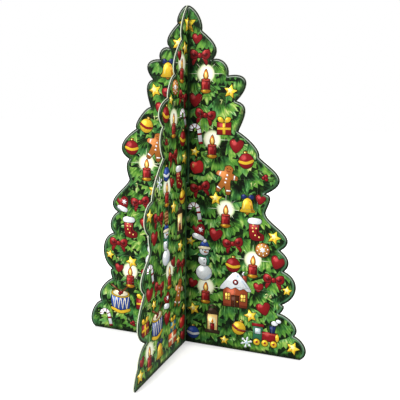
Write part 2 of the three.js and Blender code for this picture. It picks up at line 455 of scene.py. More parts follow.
def draw_candle():
    rays = [mark("#dfe6c8", stroke([(x, FLAME_HEIGHT + y), (far * x, FLAME_HEIGHT + far * y)],
                                   wide, 0.2))
            for x, y, far, wide in (
                (8.0, 0, 2.2, 0.5), (-8.0, 0, 2.2, 0.5), (0, 8.0, 1.8, 0.45),
                (6, 6, 1.5, 0.3), (-6, 6, 1.5, 0.3), (6, -6, 1.35, 0.3), (-6, -6, 1.35, 0.3))]
    leaf = soft([(1, -7), (5, -4.6), (8.5, -6.8), (5, -8.6)])
    return rays + [
        part(LEAF, flipped(leaf, -1)),
        part(LEAF, leaf),
        part(RED, block(-3.9, -7.4, 3.9, 2.2)),
        mark(PALE_RED, block(-3.1, -7, -1.8, 1.6)),
        mark(DARK_RED, block(2.1, -7, 3.7, 1.8)),
        part(PALE_RED, oval(0, 2.2, 3.9, 1.0, 14)),
        part(DARK_GOLD, soft([(-4.6, -6.8), (4.6, -6.8), (2.6, -9.4), (-2.6, -9.4)])),
        mark(GOLD, oval(-1.4, -7.7, 1.8, 0.7, 8)),
        part("#c8741f", soft([(0, 2.6), (2.3, 5.4), (0.3, 11.4), (-2.2, 5.8)], 4)),
        mark("#ffe07a", soft([(0, 3.6), (1.3, 5.6), (0.2, 9.4), (-1.2, 5.8)])),
    ]


def draw_bow(ink=RED, light=PALE_RED, dark=DARK_RED):
    parts = []
    tail = soft([(0.5, 0), (3, -3), (5.6, -7.6), (6.8, -4.6), (3.4, 0.4)])
    wing = soft([(0.6, 0), (4, 4.2), (8, 4.6), (8.8, 0), (6, -2.6)])
    fold = soft([(2.6, 0.2), (5, 2), (7, 1.4), (5.4, -0.9)])
    shine = stroke([(2.4, 2.6), (4.6, 3.9), (7, 3.9)], 0.8, 0.5)
    for side in (-1, 1):
        parts.append(part(ink, flipped(tail, side)))
    for side in (-1, 1):
        parts += [part(ink, flipped(wing, side)), mark(dark, flipped(fold, side)),
                  mark(light, flipped(shine, side))]
    knot = oval(0, 0.2, 1.8, 2.1, 10)
    return parts + [part(ink, knot), mark(light, oval(-0.5, 0.9, 0.6, 0.6, 6))]


print("a candle is drawn from", len(draw_candle()), "patches and a bow from", len(draw_bow()))

# %% Stars, hearts and baubles
def draw_star():
    outer = star(0, 0, 6.4, 0.47)
    dips = [mark("#d3a12a", [(0, 0), outer[i], outer[i + 1]]) for i in (2, 4, 6)]
    return [part("#f6dc3f", outer)] + dips + [mark("#fdf2a0", star(-0.5, 0.8, 3.1))]


def draw_heart(ink=RED, light=PALE_RED):
    return [
        part(ink, soft([(0, 2.8), (2.6, 5), (5.6, 3.6), (5, -0.6), (0, -5.8), (-5, -0.6),
                        (-5.6, 3.6), (-2.6, 5)])),
        mark(light, stroke([(-4, 1), (-3.7, 3.2), (-2.2, 3.8)], 1.1, 0.4)),
    ]


def draw_bauble(ink=RED, light=PALE_RED, band=GOLD):
    return [
        part(DARK_GOLD, block(-1.2, 4.4, 1.2, 6.6)),
        mark(PALE_GOLD, block(-0.8, 4.9, 0, 6.3)),
        part(ink, oval(0, 0, 5.2, 5.2, 18)),
        mark(band, soft([(-5, 0.8), (0, -0.6), (5, 0.8), (5, -1), (0, -2.4), (-5, -1)])),
        mark(light, soft([(-3.4, 1.6), (-1.2, 3.8), (-2, 2.2), (-2.6, 1.8)])),
    ]


print("a star is drawn from", len(draw_star()), "patches and a bauble from", len(draw_bauble()))

# %% Bells, canes and biscuits
def draw_bell():
    ribbon = soft([(0, 5.4), (2.4, 8), (4.8, 7), (3.8, 4.8)])
    return [
        part(DARK_BLUE, flipped(ribbon, -1)),
        part(DARK_BLUE, ribbon),
        part(DARK_GOLD, oval(0, -5, 1.5, 1.5, 10)),
        part(GOLD, soft([(-5.6, -4.4), (0, -5), (5.6, -4.4), (4.2, -2), (3, 3.4), (0, 5.6),
                         (-3, 3.4), (-4.2, -2)])),
        mark(DARK_GOLD, soft([(5, -4), (3.8, -1.8), (2.4, 3), (1.4, 3.2), (2.4, -1.6),
                              (2.8, -4.2)], 4)),
        mark(PALE_GOLD, stroke([(-2.8, -2.4), (-2, 1.6), (-1, 3.6)], 1.1, 0.4)),
    ]


def draw_cane():
    spine = [(1.8, -7.5), (1.8, -4.4), (1.8, -1.4), (1.8, 1.6)] + arc(-1.4, 2.6, 3.2, 0, 180, 8)
    parts = [part(SNOW, stroke(spine, 2.7))]
    for i in range(0, len(spine) - 1, 2):
        (ax, ay), (bx, by) = spine[i], spine[i + 1]
        parts.append(mark(RED, stroke([(ax, ay), ((ax + bx) / 2, (ay + by) / 2)], 2.7)))
    return parts


def draw_biscuit():
    dots = [mark(SNOW, oval(4.1 * math.cos(a), 4.1 * math.sin(a), 0.55, 0.55, 6))
            for a in [math.tau * i / 8 for i in range(8)]]
    return [part(GINGER, oval(0, 0, 5.6, 5.6, 20)), mark("#c98a45", oval(-0.4, 0.5, 4.6, 4.6, 14)),
            mark(SNOW, star(0, 0, 2.7, 0.5, 6))] + dots


def draw_gingerbread():
    body = [(0, 7.8), (2.3, 6.6), (2.2, 4.2), (5.6, 3.4), (5.8, 1.4), (2.6, 0.8), (2.8, -1.6),
            (4.2, -6.4), (2, -7.2), (0, -3.2)]
    loop = body + flipped(body[-2:0:-1], -1)
    icing = [mark(SNOW, stroke([(s * 3.9, 3.6), (s * 4.2, 1.3)], 0.6)) for s in (-1, 1)]
    icing += [mark(SNOW, stroke([(s * 1.6, -5.4), (s * 3.9, -4.8)], 0.6)) for s in (-1, 1)]
    icing += [mark(SNOW, oval(0, y, 0.55, 0.55, 6)) for y in (2.6, 0.6, -1.4)]
    icing += [mark(LINE_INK, oval(s * 0.9, 6, 0.32, 0.32, 6)) for s in (-1, 1)]
    return [part(GINGER, soft(loop, 2))] + icing + [
        mark(RED, stroke([(-1, 4.9), (0, 4.5), (1, 4.9)], 0.4))]


print("a gingerbread figure is drawn from", len(draw_gingerbread()), "patches")

# %% Mittens, stockings and gifts
def draw_mitten(ink="#2f6d8c", light="#74a9bd"):
    return [
        part(ink, soft([(-3, -2.4), (3, -2.4), (3.2, 3), (1.6, 6), (-1.4, 6), (-2.8, 3.4),
                        (-3.4, 2), (-5.6, 3.4), (-6, 1.2), (-3.6, -0.6)])),
        mark(light, star(0.3, 2.2, 2.3, 0.4, 6)),
        part(SNOW, soft([(-3.8, -5), (3.8, -5), (3.8, -2), (-3.8, -2)])),
    ]


def draw_stocking():
    dots = [mark(PALE_GOLD, oval(x, y, 0.55, 0.55, 6))
            for x, y in ((-1, 2.6), (1, 0.6), (-1, -1.6), (0.4, -4), (3, -5), (-1.4, 0.6))]
    return [
        part(RED, soft([(-3, 5), (2.6, 5), (2.6, -1.4), (6, -3.6), (5.4, -7), (-1, -7.2),
                        (-3.4, -4)])),
        mark(DARK_RED, soft([(1.2, 4), (2.2, 4), (2.2, -1.8), (5.2, -4), (1.6, -3)])),
    ] + dots + [part(SNOW, soft([(-3.9, 3.6), (3.5, 3.6), (3.5, 6.8), (-3.9, 6.8)]))]


def draw_gift(ink="#7a3f86", ribbon=GOLD):
    knot = soft([(0, 3.4), (2, 7), (5, 6.6), (4, 3.8)])
    return [
        part(ink, block(-5.4, -5.6, 5.4, 3.4)),
        mark(ribbon, block(-1, -5.4, 1, 3.2)),
        mark(ribbon, block(-5.2, -2, 5.2, -0.4)),
        part(ribbon, flipped(knot, -1)),
        part(ribbon, knot),
    ]


print("a stocking is drawn from", len(draw_stocking()), "patches and a gift from",
      len(draw_gift()))

# %% Holly, cones, snowflakes and apples
def draw_holly():
    leaf = [(0, 0), (1.8, 2), (2.6, 1.6), (3.4, 3), (4.8, 2.6), (5.4, 3.8), (8.4, 3.6),
            (6.6, 1.2), (7, 0), (5, -0.8), (4.6, -2), (3, -1.4), (1.6, -1.8)]
    vein = stroke([(1, 0.3), (6.6, 2.4)], 0.5, 0.4)
    parts = [part(LEAF, leaf), part(DARK_LEAF, flipped(leaf, -1))]
    parts += [mark("#86a85a", flipped(vein, side)) for side in (-1, 1)]
    return parts + [part(RED, oval(x, y, 1.6, 1.6, 10))
                    for x, y in ((-1.3, -0.6), (1.3, -0.8), (0, 1.4))]


def draw_cone():
    parts = [part(BROWN, soft([(0, -6.4), (3.4, -2), (3.2, 3), (0, 5.4), (-3.2, 3), (-3.4, -2)]))]
    for row in range(4):
        for side in (-1, 0, 1):
            x = side * 2 + (1 if row % 2 else 0) - 0.5
            parts.append(mark("#b98a52", oval(x, 3.4 - row * 2.4, 0.9, 0.7, 8)))
    return parts


def draw_snowflake():
    turns = [math.pi * i / 3 + math.pi / 2 for i in range(6)]
    ends = [(5.6 * math.cos(a), 5.6 * math.sin(a)) for a in turns[:3]]
    arms = [mark(SNOW, stroke([(-x, -y), (x, y)], 1.1)) for x, y in ends]
    tips = [mark(SNOW, star(4 * math.cos(a), 4 * math.sin(a), 1.7, 0.5, 3)) for a in turns]
    return arms + tips + [mark("#b9d3e4", star(0, 0, 2, 0.5, 6))]


def draw_apple():
    return [
        part(BROWN, stroke([(0, 3), (0.6, 6.2)], 0.9)),
        part(LEAF, soft([(0.6, 4.6), (3, 6.8), (5, 6), (3, 4.4)])),
        part("#bf2a2a", soft([(0, 3.4), (3, 4.2), (5.2, 1.4), (3.6, -4), (0, -4.6), (-3.6, -4),
                              (-5.2, 1.4), (-3, 4.2)])),
        mark("#e99a62", soft([(-3.6, 0.6), (-2.6, 3), (-1.6, 2.4), (-2.4, 0)])),
    ]


print("a snowflake is drawn from", len(draw_snowflake()), "patches")

# %% Snowman and cottage
def draw_snowman():
    return [
        part(SNOW, oval(0, -9, 7.4, 7, 18)),
        part(SNOW, oval(0, 2.2, 5.4, 5.2, 16)),
        part(PINE, soft([(-4.6, 5.4), (4.6, 5.4), (5.2, 8), (-5.2, 8)])),
        part(PINE, stroke([(2.6, 6.4), (4, 2.4), (3.4, -1.6)], 2.2, 1.1)),
        part(SNOW, oval(0, 11, 4.3, 4.1, 14)),
        part(BLUE, soft([(-4.4, 13.4), (4.4, 13.4), (2.6, 19), (-1.6, 19.4)])),
        part(SNOW, oval(0.4, 20, 1.7, 1.7, 10)),
        part(CREAM, soft([(-4.8, 12.6), (4.8, 12.6), (4.8, 14.6), (-4.8, 14.6)])),
        *[mark(LINE_INK, oval(x, 11.4, 0.5, 0.6, 8)) for x in (-1.5, 1.5)],
        part("#d9762a", [(0, 10.6), (0.4, 9.4), (3.4, 9.6)]),
        *[mark(LINE_INK, oval(0, y, 0.6, 0.6, 8)) for y in (3, -0.4)],
        mark(ICE, soft([(6.6, -9), (5, -13.6), (0, -15.4), (3.6, -12)])),
    ]


def draw_cottage():
    panes = [(-8.4, -6.6, -4.6, -1), (4.6, -6.6, 8.4, -1)]
    bars = [(-6.8, -6.6, -6.2, -1), (6.2, -6.6, 6.8, -1),
            (-8.4, -4.1, -4.6, -3.5), (4.6, -4.1, 8.4, -3.5)]
    return [
        part("#8c3b26", block(6, 8, 9, 16)),
        part(SNOW, soft([(5.4, 15.4), (9.6, 15.4), (9, 17.6), (6, 17.6)])),
        part("#a04a2c", block(-10, -12, 10, 5)),
        mark(TIMBER, block(-10, -12, 10, -10)),
        part("#4b2413", block(-3, -12, 3, -2.6)),
        mark(GOLD, oval(1.9, -7.4, 0.6, 0.6, 8)),
        *[part(LAMPLIGHT, block(*corners)) for corners in panes],
        *[mark(TIMBER, block(*corners)) for corners in bars],
        part(SNOW, soft([(-13, 3), (-10, 2), (-7, 4), (-3.5, 2.6), (0, 4.4), (3.5, 2.6), (7, 4),
                         (10, 2), (13, 3), (7, 11), (0, 17), (-7, 11)])),
        mark(ICE, stroke([(1, 14.4), (6, 9.6), (10, 4.6)], 1.2, 0.5)),
        part(RED, oval(0, 8.6, 2, 2, 10)),
        mark(SNOW, oval(0, 8.6, 1, 1, 8)),
    ]


print("a snowman is drawn from", len(draw_snowman()), "patches and a cottage from",
      len(draw_cottage()))

# %% Drum, lantern, train and parcels
def draw_drum():
    cords = []
    for i in range(4):
        x = -8 + i * 4
        cords.append(mark(CREAM, stroke([(x, 4.6), (x + 2, -7.6)], 0.55)))
        cords.append(mark(CREAM, stroke([(x + 2, -7.6), (x + 4, 4.6)], 0.55)))
    return [
        part(BLUE, soft([(-8, 6), (8, 6), (8, -8), (4, -9.4), (-4, -9.4), (-8, -8)])),
        mark("#6a86c8", block(-6.6, -7.6, -4.6, 4)),
    ] + cords + [
        part(GOLD, soft([(-8.6, -6.6), (0, -9.2), (8.6, -6.6), (8.6, -9), (0, -11.8), (-8.6, -9)])),
        part(GOLD, oval(0, 6.4, 8.8, 3.6, 18)),
        part(CREAM, oval(0, 6.8, 7.4, 2.6, 16)),
        part(BROWN, stroke([(-9, 14), (1, 7.6)], 1.1)),
        part(BROWN, stroke([(9, 15), (0, 7)], 1.1)),
        part(RED, oval(1, 7.6, 1.4, 1.2, 10)),
        part(RED, oval(-0.6, 6.4, 1.4, 1.2, 10)),
    ]


def draw_lantern():
    return [
        part(IRON, stroke(arc(0, 11.4, 3, 0, 180, 7), 0.9)),
        part(IRON, soft([(-5, 7), (5, 7), (1.6, 11.6), (-1.6, 11.6)])),
        part("#ffd98a", block(-4.4, -6, 4.4, 7)),
        mark("#fff3c4", oval(0, 0.4, 3, 4.6, 12)),
        part(RED, block(-1.4, -5.6, 1.4, -0.6)),
        mark("#e8922a", soft([(0, -0.4), (1, 1), (0, 3.6), (-1, 1)])),
        mark(IRON, block(-4.9, -6, -3.9, 7)),
        mark(IRON, block(3.9, -6, 4.9, 7)),
        part(IRON, block(-5.8, -8.2, 5.8, -6)),
    ]


def draw_train():
    wheels = [part(GOLD, oval(x, -6.4, 2.6, 2.6, 12)) for x in (-7, -0.6, 6.2)]
    hubs = [mark(RED, oval(x, -6.4, 1, 1, 8)) for x in (-7, -0.6, 6.2)]
    return [
        part(PINE, block(-10, -5, -2.6, 7)),
        part("#cfe0e6", block(-8.6, 0.4, -4.2, 4.8)),
        part(RED, block(-11, 6.4, -1.8, 8.4)),
        part(RED, block(-2.8, -4.6, 8.6, 2.6)),
        mark(PALE_RED, block(-2.4, 0.8, 8.2, 1.9)),
        part(GOLD, oval(8.8, -1, 1.3, 3.2, 12)),
        part(DARK_BLUE, [(3.4, 2.6), (6.6, 2.6), (7.4, 8), (2.6, 8)]),
        part(SNOW, oval(6.4, 10.4, 2.6, 1.8, 12)),
        part(SNOW, oval(9.4, 12.4, 2, 1.4, 12)),
    ] + wheels + hubs


def draw_parcels():
    """Two parcels, one on the other. The low one has no bow."""
    low = [(ink, [(x * 1.35, y * 1.1 - 4) for x, y in loop], line)
           for ink, loop, line in draw_gift("#c4562a", CREAM)[:3]]
    top = [(ink, [(x * 0.9 + 1, y * 0.9 + 5) for x, y in loop], line)
           for ink, loop, line in draw_gift("#3c7a8c", GOLD)]
    return low + top


print("a drum is drawn from", len(draw_drum()), "patches and a train from", len(draw_train()))

# %% [markdown]
# ## Laying out the print
# The ornaments are laid out wing by wing, the large ones first. Each one goes to the freest of
# many random places that keep clear of the rim, the crossing line and the door numbers, and of
# others of its own kind. A fixed seed per wing gives the same layout every time.

# %% The stock of ornaments
# Each one has its drawing, the radius in millimetres that it keeps clear, and its scale.
ORNAMENTS = {
    "candle": (draw_candle, 12.4, 1.26),
    "bow": (draw_bow, 11.6, 1.38),
    "snowman": (draw_snowman, 22, 1.35),
    "cottage": (draw_cottage, 21.5, 1.48),
    "drum": (draw_drum, 18.5, 1.45),
    "lantern": (draw_lantern, 16.5, 1.55),
    "train": (draw_train, 17.5, 1.55),
    "parcels": (draw_parcels, 17, 1.55),
    "gingerbread": (draw_gingerbread, 16, 2.2),
    "red bauble": (draw_bauble, 10, 1.65),
    "gold bauble": (lambda: draw_bauble(GOLD, PALE_GOLD, RED), 10, 1.6),
    "blue bauble": (lambda: draw_bauble(BLUE, "#8ea6dc", SNOW), 9.4, 1.5),
    "star": (draw_star, 7.8, 1.28),
    "small star": (draw_star, 5.8, 0.95),
    "heart": (draw_heart, 7.8, 1.4),
    "small heart": (draw_heart, 5.8, 1.0),
    "bell": (draw_bell, 10.6, 1.6),
    "cane": (draw_cane, 11, 1.65),
    "biscuit": (draw_biscuit, 8.6, 1.5),
    "holly": (draw_holly, 10, 1.3),
    "cone": (draw_cone, 9, 1.5),
    "snowflake": (draw_snowflake, 7.8, 1.3),
    "apple": (draw_apple, 9, 1.6),
    "mitten": (draw_mitten, 9.4, 1.6),
    "red mitten": (lambda: draw_mitten(RED, SNOW), 9.6, 1.65),
    "gift": (draw_gift, 10.4, 1.5),
    "red gift": (lambda: draw_gift(RED, GOLD), 10.4, 1.55),
    "stocking": (draw_stocking, 13, 1.8),
}
UPRIGHT = {"candle", "snowman", "cottage", "lantern", "train", "parcels", "drum", "bell", "gift",
           "red gift", "stocking"}
LOW_TOYS = ["cottage", "drum", "train", "parcels"]
MIDDLE_TOYS = ["snowman", "lantern"]
WING_LIST = (["candle"] * 5 + ["snowman", "stocking", "gingerbread", "lantern"] + ["bow"] * 5
             + ["bell", "red bauble", "cane", "red mitten", "gold bauble", "red gift", "apple",
                "red bauble", "biscuit", "gingerbread", "holly", "blue bauble", "cane"]
             + ["star"] * 6 + ["heart"] * 5 + ["cone", "snowflake"] + ["small star"] * 4
             + ["small heart"] * 4)
print("a wing has up to", len(LOW_TOYS) // 2 + len(WING_LIST), "ornaments of", len(ORNAMENTS),
      "kinds")

# %% Distances and insides
POINTS_AT_ONCE = 4000
TEST_HEIGHT = 100


def edge_distances(loop, points):
    """For each point, its distance to a closed line and how far the nearest side faces up."""
    starts = np.array(loop)
    sides = np.roll(starts, -1, axis=0) - starts
    lengths = np.maximum((sides ** 2).sum(1), 1e-9)
    points = np.asarray(points, dtype=float)
    best = np.full(len(points), 1e9)
    facing = np.zeros(len(points))
    for i in range(0, len(points), POINTS_AT_ONCE):
        some = points[i:i + POINTS_AT_ONCE, None, :] - starts[None]
        along = np.clip((some * sides).sum(2) / lengths, 0, 1)
        gaps = np.linalg.norm(some - along[..., None] * sides, axis=2)
        nearest = gaps.argmin(1)
        best[i:i + POINTS_AT_ONCE] = gaps.min(1)
        facing[i:i + POINTS_AT_ONCE] = -(sides[:, 0] / np.sqrt(lengths))[nearest]
    return best, facing * (1 if area(loop) > 0 else -1)


def inside(loop, points):
    """Which points lie inside a closed line."""
    points = np.asarray(points, dtype=float)
    within = np.zeros(len(points), dtype=bool)
    for (ax, ay), (bx, by) in zip(loop, loop[1:] + loop[:1]):
        if ay != by:
            spans = (ay > points[:, 1]) != (by > points[:, 1])
            within ^= spans & (points[:, 0] < (bx - ax) * (points[:, 1] - ay) / (by - ay) + ax)
    return within


for face in FACES.values():
    free = edge_distances(face["loops"][0], [(0, TEST_HEIGHT)])[0][0]
    print(face["name"], "has", round(free), "mm to the rim from the line's", TEST_HEIGHT, "mm mark")

# %% Places of drawings and numbers
NUMBER_INSET, NUMBER_DROP = 5.2, 5.6


def place(shapes, at, size=1.0, turn=0.0, reads=1):
    """Shapes moved to a place on a face, each as (ink, loop, has a dark line)."""
    cos, sin = math.cos(turn) * size, math.sin(turn) * size
    placed = []
    for ink, loop, line in shapes:
        moved = [(at[0] + reads * (x * cos - y * sin), at[1] + x * sin + y * cos) for x, y in loop]
        placed.append((ink, anticlockwise(moved), line))
    return placed


def number_place(door):
    """The outer top corner of a door, where its number is printed."""
    across = [p[0] for p in door]
    heights = [p[1] for p in door]
    side = 1 if sum(across) > 0 else -1
    corner = max(across) if side > 0 else min(across)
    return (corner - side * NUMBER_INSET, max(heights) - NUMBER_DROP)


for face in FACES.values():
    face["numbers"] = {node: number_place(door) for node, door in face["doors"].items()}
print("door numbers on a face:", [len(face["numbers"]) for face in FACES.values()])

# %% Lay out the ornaments
# The worth of a place counts the free space round it up to a few millimetres, and how far it
# is from others of its kind.
NUMBER_CLEAR = 4.2
APEX_DROP, APEX_CLEAR = 19.5, 13
LOW_TOP, MIDDLE_TOP = 75, 255
TRIES, WIDEST = 900, 150
RIM_CLEAR, LEAST_GAP, AMPLE_GAP = 0.6, 0.2, 3
FAR_APART, APART_WEIGHT = 60.0, 0.08
MOST_TURN = 0.35


def best_place(outline, tries, reach, taken, alike):
    """The freest place of those tried, far from others of its kind, or None."""
    tries = tries[inside(outline, tries)]
    gaps = edge_distances(outline, tries)[0]
    clear = gaps > reach + RIM_CLEAR
    tries = tries[clear]
    if not len(tries):
        return None
    used = np.array(taken)
    free = (np.linalg.norm(tries[:, None] - used[None, :, :2], axis=2)
            - used[None, :, 2]).min(1) - reach
    free = np.minimum(free, gaps[clear] - reach)
    apart = np.full(len(tries), FAR_APART)
    for other in alike:
        apart = np.minimum(apart, np.linalg.norm(tries - other, axis=1))
    worth = np.minimum(free, AMPLE_GAP) + APART_WEIGHT * apart - 100 * (free < LEAST_GAP)
    best = worth.argmax()
    return None if free[best] < LEAST_GAP else tuple(tries[best])


def lay_out_wing(face, side, toys, chance, spread):
    """The ornaments of one wing, each as (name, place, size, turn)."""
    outline = face["loops"][0]
    tall = max(v for u, v in outline)
    taken = [(u, v, NUMBER_CLEAR) for u, v in face["numbers"].values()]
    taken.append((0, tall - APEX_DROP, APEX_CLEAR))
    kinds = {}
    laid = []
    for name in toys + WING_LIST:
        reach, size = ORNAMENTS[name][1:]
        top = LOW_TOP if name in LOW_TOYS else MIDDLE_TOP if name in MIDDLE_TOYS else tall
        tries = np.column_stack([side * spread.uniform(reach, WIDEST, TRIES),
                                 spread.uniform(reach, top, TRIES)])
        alike = kinds.setdefault(name.split()[-1], [])
        at = best_place(outline, tries, reach, taken, alike)
        if at is None:
            continue
        taken.append((*at, reach))
        alike.append(at)
        turn = 0 if name in UPRIGHT else chance.uniform(-MOST_TURN, MOST_TURN)
        laid.append((name, at, size, turn))
    return laid


for index, face in enumerate(FACES.values()):
    face["ornaments"] = []
    for side in (-1, 1):
        chance = random.Random(10 * index + side)
        spread = np.random.default_rng(100 * index + side + 7)
        first = index % 2 if side > 0 else (index + 1) % 2
        face["ornaments"] += lay_out_wing(face, side, LOW_TOYS[first::2], chance, spread)
    print(face["name"], "has", len(face["ornaments"]), "ornaments")

# %% [markdown]
# ## The fir branches
# The painted tree is made of hanging boughs, each a fan of brush strokes with finger-shaped
# tips. The boughs are laid from the bottom up, so that every row hangs over the next one down,
# and a dark patch under each bough paints the gap. They lean outwards along the wings.

# %% Lay out the boughs
ROW_STEP, BOUGH_STEP = 15.5, 25.0
TOP_ROW, OUTER_COLUMN = 430, 7
FIRST_ROW = 6
BOUGH_REACH, BOUGH_MIDDLE = 30.0, 8
SIDEWAYS, UP_AND_DOWN, TURNED_BY = 5, 4, 18
MOST_LEAN = 60
PAST_THE_RIM = 20


def draw_bough(chance, reach):
    """One fan of fingers hanging from the origin, as (outline, coarse shadow outline). Nine to
    twelve fingers share a fan of 116 to 152 degrees."""
    fingers = chance.randint(9, 12)
    spread = math.radians(chance.uniform(58, 76))
    loop, shade = [(0, 2.5)], [(0, 1)]
    for i in range(fingers):
        middle = -spread + 2 * spread * (i + 0.5) / fingers
        half = spread / fingers * 0.5
        out_to = reach * chance.uniform(0.82, 1.06)
        for turn, far in ((-0.75, out_to * 0.94), (0, out_to), (0.75, out_to * 0.94)):
            angle = middle + half * turn
            loop.append((far * math.sin(angle), -far * math.cos(angle)))
        notch = middle + spread / fingers
        if i < fingers - 1:
            near = out_to * chance.uniform(0.8, 0.88)
            loop.append((near * math.sin(notch), -near * math.cos(notch)))
        if i % 2 == 0:
            far = out_to + 0.9
            shade.append((far * math.sin(middle), -far * math.cos(middle) - 0.7))
    return loop, shade


for index, face in enumerate(FACES.values()):
    chance = random.Random(500 + index)
    outline = face["loops"][0]
    boughs = []
    for row in range(int(TOP_ROW / ROW_STEP)):
        v = row * ROW_STEP + FIRST_ROW
        shift = BOUGH_STEP * (0.5 if row % 2 else 0)
        for column in range(-OUTER_COLUMN, OUTER_COLUMN + 1):
            u = column * BOUGH_STEP + shift + chance.uniform(-SIDEWAYS, SIDEWAYS)
            lift = v + chance.uniform(-UP_AND_DOWN, UP_AND_DOWN)
            lean = max(-MOST_LEAN, min(MOST_LEAN, u)) + chance.uniform(-TURNED_BY, TURNED_BY)
            reach = BOUGH_REACH * chance.uniform(0.86, 1.12)
            tone, hue = chance.random(), chance.random()
            bough, shade = draw_bough(chance, reach)
            boughs.append(((u, lift), math.radians(lean), reach, tone, hue, bough, shade))
    centres = [(b[0][0] + BOUGH_MIDDLE * math.sin(b[1]),
                b[0][1] - BOUGH_MIDDLE * math.cos(b[1])) for b in boughs]
    gaps = edge_distances(outline, centres)[0]
    keep = inside(outline, centres) | (gaps < PAST_THE_RIM)
    face["boughs"] = [b for b, k in zip(boughs, keep) if k]
    print(face["name"], "has", len(face["boughs"]), "boughs")

# %% [markdown]
# ## Cutting the ink
# All the outlines of one face, from the card's edge to the smallest berry, go into one planar
# triangulation, because no operator cuts hundreds of overlapping outlines at once. Each
# triangle then belongs to the topmost patch over it, to a door or to the cover, and so the ink
# has sharp edges with no overlaps. Extra points near the rim and round the flames carry the
# smooth changes: the dark rim and the glow.

# %% Numbers drawn with strokes
DIGITS = {
    "0": [arc(2, 4.1, 1.8, 2, 180, 7) + arc(2, 1.9, 1.8, 180, 360, 7) + [(3.8, 4)]],
    "1": [[(0.7, 4.7), (2.5, 6.2)], [(2.2, 6.2), (2.2, 0)]],
    "2": [arc(2, 4.2, 1.8, 170, -20, 7) + [(0.2, 0)], [(0, 0.2), (4, 0.2)]],
    "3": [arc(1.9, 4.5, 1.5, 150, -80, 7), arc(1.9, 1.6, 1.7, 80, -150, 7)],
    "4": [[(3, 0), (3, 6.2)], [(3.1, 6.2), (0, 1.7)], [(-0.2, 1.9), (4.2, 1.9)]],
    "5": [[(3.8, 5.8), (0.4, 5.8)], [(0.8, 6.2), (0.6, 3.2)] + arc(1.9, 1.9, 1.9, 100, -140, 8)],
    "6": [[(3.2, 6), (1.5, 4.2), (0.5, 2.5)], arc(2, 1.8, 1.75, 152, 508, 12)],
    "7": [[(0.2, 5.8), (4.1, 5.8)], [(3.8, 6.2), (1.6, 0)]],
    "8": [arc(2, 4.5, 1.4, 92, 448, 11), arc(2, 1.6, 1.75, 92, 448, 12)],
    "9": [arc(2, 4.2, 1.75, -20, 330, 11), [(3.75, 4), (3.2, 1.8), (1.6, 0)]],
}
DIGIT_STEP, DIGIT_SPACE, DIGIT_MIDDLE = 5.2, 1, 3
NUMBER_INKS = ((1.9, "#14200d"), (1.0, "#bcc67c"))


def number_shapes(number):
    """A door number, drawn 6 mm tall and centred, as marks of pale ink on a dark line."""
    text = str(number)
    start = -(len(text) * DIGIT_STEP - DIGIT_SPACE) / 2
    shapes = []
    for width, ink in NUMBER_INKS:
        for i, digit in enumerate(text):
            for line in DIGITS[digit]:
                moved = [(x + start + DIGIT_STEP * i, y - DIGIT_MIDDLE) for x, y in line]
                shapes.append(mark(ink, stroke(moved, width)))
    return shapes


print("the number 24 is drawn with", len(number_shapes(24)), "strokes")

# %% All the patches of a face
NUMBER_SIZE = 0.8
APEX_SIZE, APEX_TURN = 1.78, 0.1
GAP_DEPTH, BOUGH_DEPTH = 0.13, 1.0


def inked(drawing, reads):
    """A placed drawing as patches: each one (outline, ink, local frame)."""
    patches = []
    for ink, loop, line in drawing:
        across = [p[0] for p in loop]
        heights = [p[1] for p in loop]
        middle = ((min(across) + max(across)) / 2, (min(heights) + max(heights)) / 2)
        span = max(max(across) - min(across), max(heights) - min(heights)) / 2
        local = (middle, reads / span, 0.0)
        if line:
            patches.append((grown(loop, LINE_WIDTH), linear(LINE_INK), local))
        patches.append((loop, linear(ink), local))
    return patches


def face_patches(face):
    """Every printed patch of a face, from the bottom up."""
    patches = []
    reads = face["reads"]
    for at, lean, reach, tone, hue, bough, shade in face["boughs"]:
        cos, sin = math.cos(lean), math.sin(lean)
        for loop, depth in ((shade, GAP_DEPTH), (bough, BOUGH_DEPTH)):
            moved = [(at[0] + x * cos - y * sin, at[1] + x * sin + y * cos) for x, y in loop]
            patches.append((anticlockwise(moved), (tone, hue, depth, 0.0),
                            (at, cos / reach, sin / reach)))
    tall = max(v for u, v in face["loops"][0])
    patches += inked(place(draw_star(), (0, tall - APEX_DROP), APEX_SIZE, APEX_TURN), reads)
    for name, at, size, turn in face["ornaments"]:
        patches += inked(place(ORNAMENTS[name][0](), at, size, turn, reads), reads)
    for node, at in face["numbers"].items():
        numeral = number_shapes(int(node[len("door_"):]))
        patches += inked(place(numeral, at, NUMBER_SIZE, 0, reads), reads)
    return patches


for face in FACES.values():
    print(face["name"], "has", len(face_patches(face)), "patches of ink")

# %% One cut of many outlines
RIM_RINGS = (0.3, 0.6, 1.0, 1.4, 2, 4.2, 7)
HALO_RINGS = (4, 5.6, 7, 8.2, 9.2)
HALO_CORNERS = 18
SAME_POINT = 1e-4
FILLED_OUTLINES = 1


def cut(loops, loose):
    """One triangulation of overlapping outlines, as (points, triangles, owners of each)."""
    points, shapes = [], []
    for loop in loops:
        shapes.append(list(range(len(points), len(points) + len(loop))))
        points += [Vector(p) for p in loop]
    points += [Vector(p) for p in loose]
    verts, _, triangles, _, _, owners = delaunay_2d_cdt(
        points, [], shapes, FILLED_OUTLINES, SAME_POINT, True)
    return verts, triangles, owners


def free_points(face):
    """Loose points that carry the dark rim and the glow of the flames. A point of a ring that
    comes too near another side of the rim is left out."""
    outline = face["loops"][0]
    points = []
    for inwards in RIM_RINGS:
        ring = grown(outline if area(outline) > 0 else outline[::-1], -inwards)
        far = edge_distances(outline, ring)[0]
        points += [p for p, d in zip(ring, far) if d > inwards * 0.9]
    for at, size in face["flames"]:
        for ring in HALO_RINGS:
            points += oval(at[0], at[1], ring * size, None, HALO_CORNERS)
    return points


